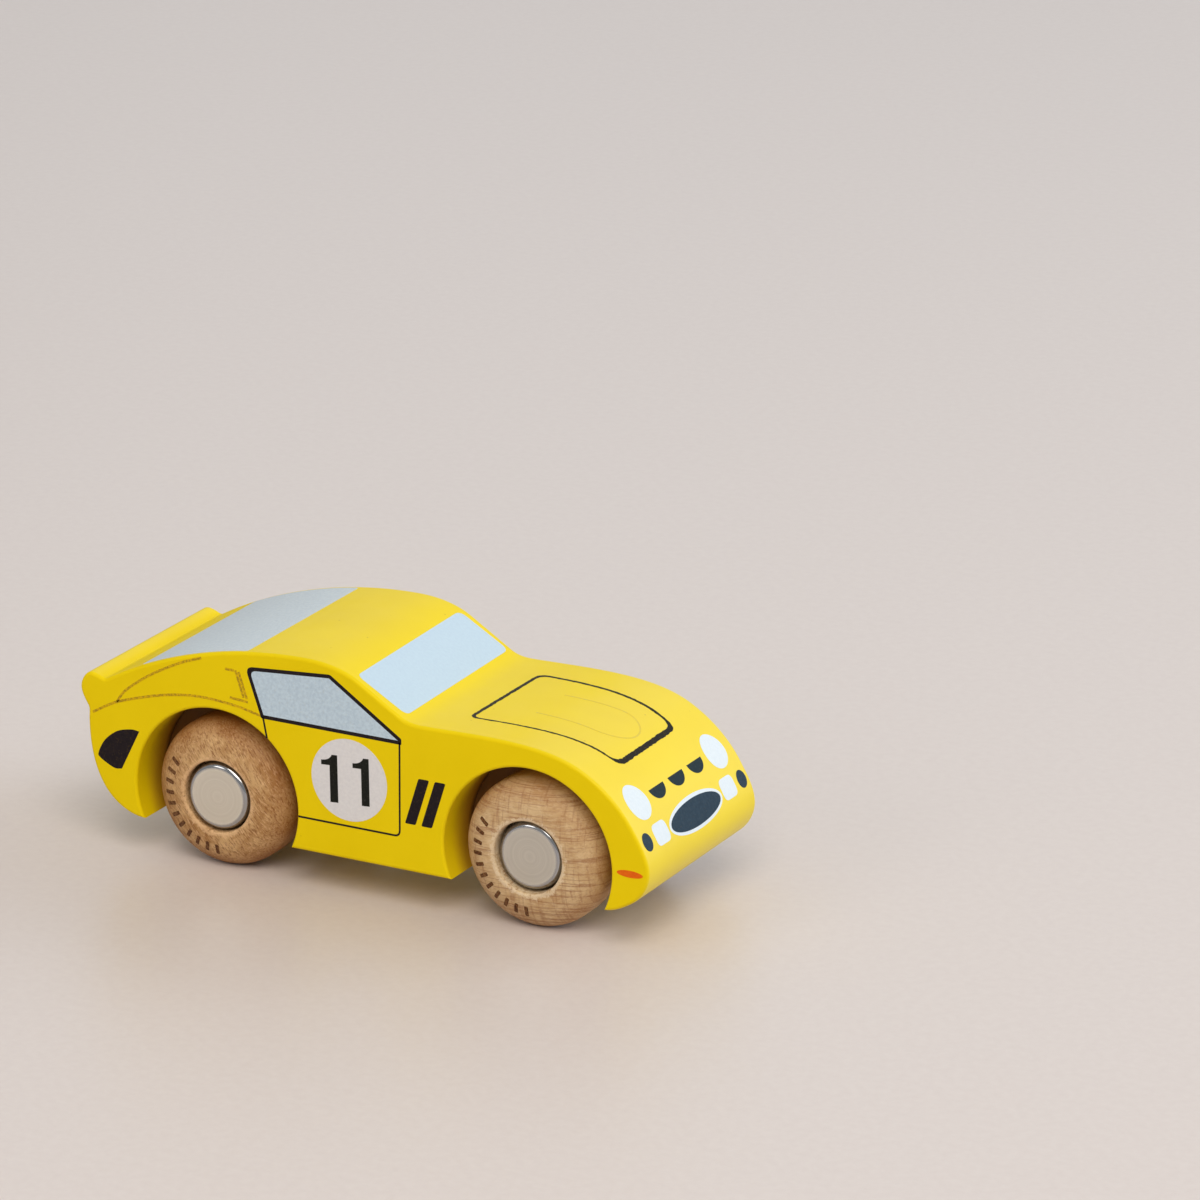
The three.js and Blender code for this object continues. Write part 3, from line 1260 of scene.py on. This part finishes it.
@dataclass
class Prints:
    """A set of prints on the body, drawn in one view and laid on as thin films."""

    block: BodyBlock
    film: float = 0.03
    sink: float = 0.01
    overlap: float = 0.02
    bend_pitch: float = 0.7
    stand_off: float = 20.0

    def stick_flat(self, film: Film, sign: int) -> Piece:
        """Lays a film on one of the flat sides.

        Args:
            film: The film.
            sign: The sign of the side's Y.

        Returns:
            The piece, in millimetres.
        """
        rear = AXLE[End.REAR]
        piece = drawn(film.name, film.loops, thickness=self.film + self.sink)
        lift = self.block.half_width() + (self.film - self.sink) / 2 + film.layer * self.overlap
        upright = Matrix.Rotation(RIGHT_ANGLE, 4, "X")
        settle(piece, Matrix.Translation((rear.x, sign * lift, rear.z)) @ upright)
        weld(piece)
        return piece

    def stick_bent(self, film: Film, target: Piece, axis: Axis) -> Piece:
        """Lays a film on a curved face, pressed on from above or from ahead.

        Args:
            film: The film.
            target: The body, in millimetres.
            axis: The axis along which it is pressed.

        Returns:
            The piece, in millimetres.
        """
        rear = AXLE[End.REAR]
        ahead = CAD_BOX[1].x / MM + self.stand_off
        above = CAD_BOX[1].z / MM + self.stand_off
        seen_from_above = Matrix.Translation((rear.x, 0.0, above))
        seen_from_ahead = Matrix(((0, 0, 1, ahead), (1, 0, 0, 0), (0, 1, 0, rear.z), (0, 0, 0, 1)))
        piece = drawn(film.name, film.loops)
        settle(piece, seen_from_above if axis is Axis.UP else seen_from_ahead)
        scored(piece, Axis.AHEAD if axis is Axis.UP else Axis.UP, self.bend_pitch)
        laid_on(piece, target, axis, 1, self.film + film.layer * self.overlap)
        return piece

    def stick(self, films: list[Film], view: View, target: Piece) -> None:
        """Lays a view's films on the body.

        Args:
            films: The films, lowest first.
            view: The view that they are drawn in.
            target: The body, in millimetres.
        """
        axis, sign = view.value
        for film in films:
            if axis is Axis.ACROSS:
                piece = self.stick_flat(film, sign)
            else:
                piece = self.stick_bent(film, target, axis)
            soften(piece)
            finished(piece, "body", film.ink)


@dataclass
class SidePrints(Prints):
    """The prints on one side: window, door, race number, louvres, duct, indicator and worn lines."""

    window: tuple[Corner, ...] = (
        (6.75, 27.95, 1.8),
        (25.45, 29.5, 0.4),
        (41.0, 19.2, 0.3),
        (41.0, 18.05, 0.2),
        (10.25, 18.05, 0.3),
    )
    frame_width: float = 0.76
    door_line: float = 0.38
    door_front: float = 40.6
    door_hem: float = -0.5
    door_corner: float = 1.2
    door_rear_top: float = 10.6
    door_rear_foot: Point = (11.6, 13.6)
    arch_reach: float = 18.3
    roundel: tuple[Point, float] = ((29.57, 8.87), 8.28)
    number_feet: tuple[Point, ...] = ((26.3, 3.8), (33.2, 4.25))
    number_height: float = 9.6
    stem_width: float = 1.72
    flag_tip: float = 0.35
    flag_reach: float = 2.7
    flag_drop: Point = (1.2, 2.15)
    number_lean: float = 1.2
    number_rise: float = 3.5
    louvre_tops: tuple[float, ...] = (44.7, 48.25)
    louvre_width: float = 2.3
    louvre_span: Point = (2.4, 11.9)
    louvre_slant: float = 2.95
    louvre_corner: float = 0.35
    indicator: tuple[Point, Point] = ((90.0, 1.0), (2.75, 0.7))
    worn_width: float = 0.5
    duct_bow: tuple[Point, ...] = (
        (-21.3, 2.15),
        (-23.1, 2.06),
        (-26.1, 3.6),
        (-26.5, 4.7),
        (-25.0, 7.5),
        (-22.2, 9.75),
        (-19.1, 10.6),
        (-17.2, 10.5),
    )
    haunch: tuple[Point, ...] = (
        (-27.7, 12.75),
        (-22.3, 15.7),
        (-15.0, 18.1),
        (-10.0, 19.3),
        (-5.0, 20.0),
        (0.0, 20.0),
        (5.3, 19.5),
        (10.2, 18.5),
    )
    quarter: tuple[Point, ...] = (
        (-22.2, 15.8),
        (-20.0, 18.6),
        (-15.0, 22.3),
        (-10.0, 25.1),
        (-6.6, 26.7),
        (-3.0, 28.0),
    )
    vent_strokes: tuple[tuple[Point, Point], ...] = (
        ((2.3, 26.75), (4.25, 26.7)),
        ((4.6, 26.8), (6.35, 21.55)),
        ((5.3, 26.6), (7.1, 21.4)),
        ((3.3, 21.1), (7.3, 20.8)),
    )

    def numeral(self, foot: Point) -> Loop:
        """Draws a plain figure 1 on its foot.

        Args:
            foot: The middle of the stem's foot.

        Returns:
            The closed outline.
        """
        half = self.stem_width / 2
        top = self.number_height
        brow, chin = (top - drop for drop in self.flag_drop)
        flag = bend((-self.flag_tip, top), (-half, brow), (-self.flag_reach, brow), steps=8)
        shape = [(half, 0.0), (half, top), *flag, (-self.flag_reach, chin), (-half, chin), (-half, 0.0)]
        lean = math.tan(math.radians(self.number_lean))
        rise = math.tan(math.radians(self.number_rise))
        return [(foot[0] + x - y * lean, foot[1] + y + x * rise) for x, y in shape]

    def louvre(self, top: float) -> Loop:
        """Draws one slanted louvre.

        Args:
            top: Where its upper rear corner lies along the car.

        Returns:
            The closed outline.
        """
        low, high = self.louvre_span
        foot = top - self.louvre_slant
        wide = self.louvre_width
        turns = ((top, high), (top + wide, high), (foot + wide, low), (foot, low))
        return rounded([(x, y, self.louvre_corner) for x, y in turns])

    def door_lines(self) -> list[Loop]:
        """Draws the door's front edge and hem as one line, and its short rear edge above the arch.

        Returns:
            The outlines of both lines.
        """
        sill = self.window[-1][1] + self.frame_width / 2
        front = self.door_front
        hem = self.door_hem
        reach = self.door_corner
        corner = bend((front, hem + reach), (front, hem), (front - reach, hem), steps=6)
        rear_top = Vector((self.door_rear_top, sill))
        rear_foot = Vector(self.door_rear_foot)
        share = (rear_top.length - self.arch_reach) / (rear_top.length - rear_foot.length)
        lines = [
            [(front, sill), *corner, (self.arch_reach, hem)],
            [tuple(rear_top), tuple(rear_top.lerp(rear_foot, share))],
        ]
        return [ribbon(line, self.door_line) for line in lines]

    def worn_lines(self) -> list[Loop]:
        """Draws the fine worn lines: haunch, quarter window and the vent behind the door's window."""
        lines = [smooth(list(self.haunch)), smooth(list(self.quarter)), *map(list, self.vent_strokes)]
        return [ribbon(line, self.worn_width) for line in lines]

    def build(self, target: Piece, side: Side) -> None:
        """Lays all of a side's prints.

        Args:
            target: The body, in millimetres.
            side: The side to print.
        """
        window = list(self.window)
        pane = inset(window, [self.frame_width] * len(window))
        centre, radius = self.roundel
        digits = [self.numeral(foot) for foot in self.number_feet]
        if side is Side.LEFT:
            digits = [mirrored(digit, centre[0]) for digit in digits]
        tag = side.tag
        films = [
            Film(f"door_lines_{tag}", self.door_lines(), BLACK),
            Film(f"window_frame_{tag}", [rounded(window)], BLACK),
            Film(f"window_pane_{tag}", [rounded(pane)], PANE, 1),
            Film(f"number_roundel_{tag}", [ellipse(centre, (radius, radius), 96)], CREAM),
            Film(f"race_number_{tag}", digits, NUMBER, 1),
            Film(f"louvres_{tag}", [self.louvre(top) for top in self.louvre_tops], BLACK),
            Film(f"rear_duct_{tag}", [smooth(list(self.duct_bow))], BLACK),
            Film(f"indicator_{tag}", [ellipse(*self.indicator)], ORANGE),
            Film(f"worn_lines_{tag}", self.worn_lines(), FAINT),
        ]
        self.stick(films, View.RIGHT_SIDE if side is Side.RIGHT else View.LEFT_SIDE, target)


@dataclass
class TopPrints(Prints):
    """The prints on the upper surfaces: windscreen, rear window and the bonnet's lines."""

    screen: tuple[Corner, ...] = (
        (29.7, 20.4, 1.5),
        (40.3, 21.0, 1.5),
        (40.9, -20.0, 1.5),
        (30.4, -20.6, 1.5),
    )
    rear_window: tuple[Corner, ...] = (
        (-17.0, 21.3, 0.8),
        (6.8, 21.3, 0.8),
        (6.8, -21.3, 0.8),
        (-17.0, -21.3, 0.8),
    )
    bonnet: tuple[Corner, ...] = (
        (50.9, 14.2, 2.4),
        (70.0, 12.9, 8.0),
        (82.3, 11.1, 2.2),
        (82.5, -12.1, 2.4),
        (68.0, -13.6, 8.0),
        (50.7, -13.8, 2.2),
    )
    bonnet_lines: tuple[float, ...] = (0.7, 0.75, 1.0, 0.55, 0.5, 0.8)
    bonnet_pitch: float = 0.5
    bonnet_rough: float = 0.16
    scoop: tuple[Point, float] = ((61.0, 73.6), 5.9)
    scoop_nose: float = 6.0
    scoop_taper: float = 0.95
    scoop_line: float = 0.32

    def build(self, target: Piece) -> None:
        """Lays the prints on the upper surfaces.

        Args:
            target: The body, in millimetres.
        """
        outer = list(self.bonnet)
        inner = inset(outer, list(self.bonnet_lines))
        edges = [rounded(outer), rounded(inner)]
        lines = [ragged(edge, self.bonnet_pitch, self.bonnet_rough) for edge in edges]
        (rear, turn), half = self.scoop
        round_end = arc((turn, 0.0), (self.scoop_nose, half), RIGHT_ANGLE, -RIGHT_ANGLE, steps=24)
        tail = half * self.scoop_taper
        scoop = [(rear, tail), *round_end, (rear, -tail)]
        films = [
            Film("windscreen", [rounded(list(self.screen))], SCREEN),
            Film("rear_window", [rounded(list(self.rear_window))], BACKLIGHT),
            Film("bonnet_line", lines, LINE),
            Film("scoop_line", [ribbon(scoop, self.scoop_line)], SCOOP),
        ]
        self.stick(films, View.TOP, target)


@dataclass
class NosePrints(Prints):
    """The prints on the nose: lamps, vents and grille, drawn as seen from ahead."""

    bend_pitch: float = 0.4
    headlamp: tuple[Point, Point] = ((15.8, 12.8), (3.45, 2.85))
    vents: tuple[float, ...] = (-7.75, 0.0, 7.75)
    vent_edge: float = 13.4
    vent_reach: Point = (2.85, 1.95)
    grille: tuple[Point, Point] = ((0.0, 6.5), (9.9, 2.35))
    grille_rim: float = 0.65
    fog_lamp: tuple[Point, Point, float] = ((13.8, 6.85), (2.6, 1.9), 1.3)
    corner_lamp: tuple[Point, Point] = ((19.4, 6.8), (1.6, 1.6))

    def vent(self, middle: float) -> Loop:
        """Draws a half-moon vent, flat edge up."""
        return arc((middle, self.vent_edge), self.vent_reach, -math.pi, 0.0, steps=28)

    def build(self, target: Piece) -> None:
        """Lays the prints on the nose.

        Args:
            target: The body, in millimetres.
        """
        centre, reach = self.grille
        rim = (reach[0] + self.grille_rim, reach[1] + self.grille_rim)
        films = [
            Film("headlamps", both(ellipse(*self.headlamp)), WHITE),
            Film("nose_vents", [self.vent(middle) for middle in self.vents], VENT),
            Film("grille_rim", [ellipse(centre, rim, 96)], WHITE),
            Film("grille", [ellipse(centre, reach, 96)], SLATE, 1),
            Film("fog_lamps", both(plate(*self.fog_lamp)), WHITE),
            Film("corner_lamps", both(ellipse(*self.corner_lamp)), SLATE),
        ]
        self.stick(films, View.NOSE, target)


@dataclass
class AxlePiece:
    """A round piece that is turned about an axle, on one side of the car."""

    end: End
    side: Side
    kind: str
    made: str
    facets: int
    crease: float = 50.0

    def tag(self) -> str:
        """Names the piece's end and side as the CAD nodes do."""
        return f"{self.end.value}_{self.side.tag}"

    def node(self) -> str:
        """Gives the name of the piece's CAD node."""
        return f"{self.kind}_{self.tag()}"

    def measures(self) -> tuple[float, float, float]:
        """Measures the CAD node.

        Returns:
            Its radius, and the distance of its inner and outer face from the car's middle.
        """
        low, high = node_box(self.node())
        inner, outer = sorted((abs(low.y), abs(high.y)))
        return (high.z - low.z) / 2, inner, outer

    def profile(self) -> Loop:
        """Draws the section as radius and distance out; each kind of piece has its own."""
        raise NotImplementedError

    def lathed(self) -> Piece:
        """Turns the piece to its section.

        Returns:
            The piece, in millimetres.
        """
        name = f"{self.made}_{self.node()}"
        piece = turned(name, self.profile(), AXLE[self.end], self.side, self.facets)
        soften(piece, self.crease)
        return piece


@dataclass
class RoadWheel(AxlePiece):
    """A turned wheel with a domed face, a counterbore for its cap and an arc of plain burnt ticks."""

    kind: str = "wheel"
    made: str = "turned"
    facets: int = 144
    plank_step: float = 37.0
    dome: float = 5.2
    back_round: float = 2.0
    counterbore: float = 7.25
    counterbore_edge: float = 0.5
    counterbore_depth: float = 5.2
    bore: float = 2.75
    tick_radius: float = 11.0
    tick_size: Point = (0.8, 2.2)
    tick_corner: float = 0.25
    tick_count: int = 11
    tick_arc: Point = (150.0, 268.0)
    tick_film: float = 0.03
    tick_pitch: float = 0.5

    def wood(self) -> Beech:
        """Chooses the wheel's wood: straight pale grain in front, darker and mottled behind.

        Returns:
            The finish, which starts from its own place in the plank on each side.
        """
        name = f"beech_{self.tag()}"
        centre = tuple(AXLE[self.end] + Vector((0.0, self.side.value * self.plank_step, 0.0)))
        if self.end is End.FRONT:
            return Beech(name, centre, turn=math.radians(-3.0))
        return Beech(
            name,
            centre,
            turn=math.radians(52.0),
            pale=srgb(204, 166, 116),
            brown=srgb(162, 116, 66),
            line=srgb(118, 68, 32),
            fibre=srgb(224, 184, 138),
            rings=0.15,
            rays=0.0,
            flecks=0.65,
            glints=0.5,
            # Behind, a stronger tread tint: end grain, with painted shade and painted reflection from the
            # arch
            tread_grain_and_shade_tint=0.55,
            tread_grain_and_shade_tone=srgb(138, 80, 30),
        )

    def profile(self) -> Loop:
        """Draws the wheel's section from the bore round the back, tread and dome to the counterbore.

        Returns:
            The closed section as radius and distance out.
        """
        radius, back, face = self.measures()
        floor = face - self.counterbore_depth
        edge = self.counterbore_edge
        lip = self.counterbore + edge
        heel = (radius - self.back_round, back + self.back_round)
        crown = (lip, face - self.dome)
        return [
            (self.bore, back),
            *arc(heel, (self.back_round, self.back_round), -RIGHT_ANGLE, 0.0, steps=10),
            *arc(crown, (radius - lip, self.dome), 0.0, RIGHT_ANGLE, steps=32),
            *arc((lip, face - edge), (edge, edge), RIGHT_ANGLE, math.pi, steps=6)[1:],
            (self.counterbore, floor),
            (self.bore, floor),
        ]

    def ticks(self, wheel: Piece) -> Piece:
        """Lays the arc of burnt ticks on the dome.

        Args:
            wheel: The wheel, in millimetres.

        Returns:
            The ticks as one piece.
        """
        wide, long = (size / 2 for size in self.tick_size)
        bar = plate((0.0, 0.0), (wide, long), self.tick_corner, steps=3)
        first, last = (math.radians(degrees) for degrees in self.tick_arc)
        loops = []
        for index in range(self.tick_count):
            angle = first + (last - first) * index / (self.tick_count - 1)
            out = Vector((math.cos(angle), math.sin(angle)))
            along = Vector((-out.y, out.x))
            loops.append([tuple(out * (self.tick_radius + y) + along * x) for x, y in bar])
        piece = drawn(f"burnt_ticks_{self.tag()}", loops)
        upright = Matrix.Rotation(RIGHT_ANGLE, 4, "X")
        beside = AXLE[self.end] + Vector((0.0, self.side.value * 2 * CAD_BOX[1].y / MM, 0.0))
        settle(piece, Matrix.Translation(beside) @ upright)
        scored(piece, Axis.AHEAD, self.tick_pitch)
        scored(piece, Axis.UP, self.tick_pitch)
        laid_on(piece, wheel, Axis.ACROSS, self.side.value, self.tick_film)
        soften(piece)
        return piece

    def build(self) -> None:
        """Turns the wheel, marks it and hands both pieces over."""
        wheel = self.lathed()
        ticks = self.ticks(wheel)
        finished(ticks, self.node(), BURNT)
        finished(wheel, self.node(), self.wood(), self.node())


@dataclass
class HubCap(AxlePiece):
    """A drawn steel cap on the axle's end, with a rounded shoulder and its lip rolled in."""

    kind: str = "hub_cap"
    made: str = "pressed"
    facets: int = 128
    sheet: float = 0.5
    shoulder: float = 1.1
    lip: float = 1.2

    def profile(self) -> Loop:
        """Draws the cap's section, cup side first.

        Returns:
            The closed section as radius and distance out.
        """
        radius, bottom, top = self.measures()
        inner = radius - self.sheet
        shoulder = (radius - self.shoulder, top - self.shoulder)
        inside = self.shoulder - self.sheet
        return [
            (0.0, top - self.sheet),
            *arc(shoulder, (inside, inside), RIGHT_ANGLE, 0.0, steps=6),
            (inner, bottom + self.sheet),
            (inner - self.lip, bottom + self.sheet),
            (inner - self.lip, bottom),
            *arc((inner, bottom + self.sheet), (self.sheet, self.sheet), -RIGHT_ANGLE, 0.0, steps=6),
            *arc(shoulder, (self.shoulder, self.shoulder), 0.0, RIGHT_ANGLE, steps=14),
            (0.0, top),
        ]

    def steel(self) -> Steel:
        """Chooses the cap's plating; the front caps' steel is painted a little darker, as painted shade.

        Returns:
            The finish, centred on the axle.
        """
        name = f"cap_steel_{self.end.value}"
        centre = tuple(AXLE[self.end])
        # Same steel in front, painted darker as painted shade
        if self.end is End.FRONT:
            return Steel(name, centre, bright=srgb(216, 213, 204), dull=srgb(202, 199, 190))
        return Steel(name, centre)

    def build(self) -> None:
        """Turns the cap and hands it over."""
        finished(self.lathed(), f"axle_{self.end.value}", self.steel(), self.node())


@dataclass
class AxleHardware:
    """An axle's rod and star washers, which keep the shape that the frame gives them."""

    end: End
    rim: float = 9.0

    def dress(self) -> None:
        """Gives the rod and the washers their steel."""
        name = self.end.value
        place = tuple(AXLE[self.end])
        drawn_tones = (srgb(190, 190, 190), srgb(160, 160, 162))
        spring_tones = (srgb(128, 129, 133), srgb(96, 97, 102))
        rod = Steel(f"rod_steel_{name}", place, *drawn_tones, rim=self.rim)
        spring = Steel(f"spring_steel_{name}", place, *spring_tones, rim=self.rim)
        finishes = {f"axle_{name}": rod}
        finishes |= {f"spring_washer_{name}_{side.tag}": spring for side in Side}
        for node, finish in finishes.items():
            mesh = frame["nodes"][node].data
            mesh.materials.clear()
            mesh.materials.append(finish.material())
            LOG.info("%s: dressed in %s", node, finish.name)


@dataclass(frozen=True)
class Lamp:
    """A soft flat lamp that faces the car: its direction, distance, size, power and tint."""

    name: str
    towards: Triple
    distance: float
    size: Point
    watts: float
    tint: Triple


@dataclass
class Studio:
    """The table, the soft light and the camera, in metres."""

    table: float = 8.0
    camera_place: Triple = (0.623577, -1.104422, 0.489979)
    azimuth: float = 27.859
    elevation: float = 18.976
    roll: float = 0.35
    lens: float = 210.0
    clip_end: float = 50.0
    sky: Colour = (1.0, 1.0, 0.98, 1.0)
    sky_strength: float = 0.38
    lamps: tuple[Lamp, ...] = (
        Lamp("ceiling", (-0.4, -0.15, 0.9), 2.2, (1.4, 1.4), 2.0, (0.8, 1.02, 1.2)),
        Lamp("window", (0.8, 0.48, 0.36), 2.4, (1.6, 1.4), 23.5, (0.88, 1.01, 1.13)),
        Lamp("fill", (0.36, -0.55, 0.79), 2.6, (1.8, 1.8), 40.0, (1.06, 0.98, 0.87)),
        Lamp("catchlight", (-0.44, -0.78, 0.46), 2.4, (0.7, 0.7), 4.5, (1.05, 0.98, 0.93)),
        Lamp("backdrop", (0.1, 0.9, 0.5), 2.8, (5.0, 1.7), 18.5, (0.88, 1.01, 1.13)),
    )

    def lay_table(self) -> None:
        """Adds the pale table that the car stands on."""
        bpy.ops.object.select_all(action="DESELECT")
        bpy.ops.mesh.primitive_plane_add(size=self.table, location=(0.0, 0.0, 0.0))
        table = bpy.context.object
        table.name = "table"
        table.data.materials.append(Tabletop("pale_table").material())

    def hang(self, lamp: Lamp) -> None:
        """Hangs one lamp and turns it to the car.

        Args:
            lamp: The lamp.
        """
        place = Vector(lamp.towards).normalized() * lamp.distance
        bpy.ops.object.light_add(type="AREA", location=place)
        light = bpy.context.object
        light.name = lamp.name
        light.data.shape = "RECTANGLE"
        light.data.size, light.data.size_y = lamp.size
        light.data.energy = lamp.watts
        light.data.color = lamp.tint
        light.rotation_euler = (-place).to_track_quat("-Z", "Y").to_euler()

    def light(self) -> None:
        """Sets a pale sky and hangs the lamps."""
        world = bpy.data.worlds.new("studio_sky")
        world.use_nodes = True
        sky = world.node_tree.nodes["Background"]
        sky.inputs["Color"].default_value = self.sky
        sky.inputs["Strength"].default_value = self.sky_strength
        bpy.context.scene.world = world
        for lamp in self.lamps:
            self.hang(lamp)

    def aim(self) -> None:
        """Sets the camera as the photograph was taken."""
        around = math.radians(self.azimuth)
        above = math.radians(self.elevation)
        flat = math.cos(above)
        back = Vector((math.sin(around) * flat, -math.cos(around) * flat, math.sin(above)))
        level = Vector((math.cos(around), math.sin(around), 0.0))
        right = Matrix.Rotation(math.radians(self.roll), 3, back) @ level
        up = back.cross(right)
        data = bpy.data.cameras.new("photo_camera")
        data.lens = self.lens
        data.clip_end = self.clip_end
        camera = bpy.data.objects.new("photo_camera", data)
        bpy.context.scene.collection.objects.link(camera)
        axes = Matrix((right, up, back)).transposed().to_4x4()
        camera.matrix_world = Matrix.Translation(self.camera_place) @ axes
        bpy.context.scene.camera = camera

    def build(self) -> None:
        """Sets up the whole studio."""
        self.lay_table()
        self.light()
        self.aim()
        bpy.context.scene.view_settings.view_transform = "Standard"


def main() -> None:
    """Builds the studio and the car, piece by piece."""
    logging.basicConfig(level=logging.INFO, format="%(name)s %(message)s")
    Studio().build()
    block = BodyBlock()
    body = block.build()
    for side in Side:
        SidePrints(block).build(body, side)
    TopPrints(block).build(body)
    NosePrints(block).build(body)
    finished(body, "body", PAINT, "body_block")
    for end in End:
        for side in Side:
            RoadWheel(end, side).build()
            HubCap(end, side).build()
        AxleHardware(end).dress()


if __name__ == "__main__":
    main()
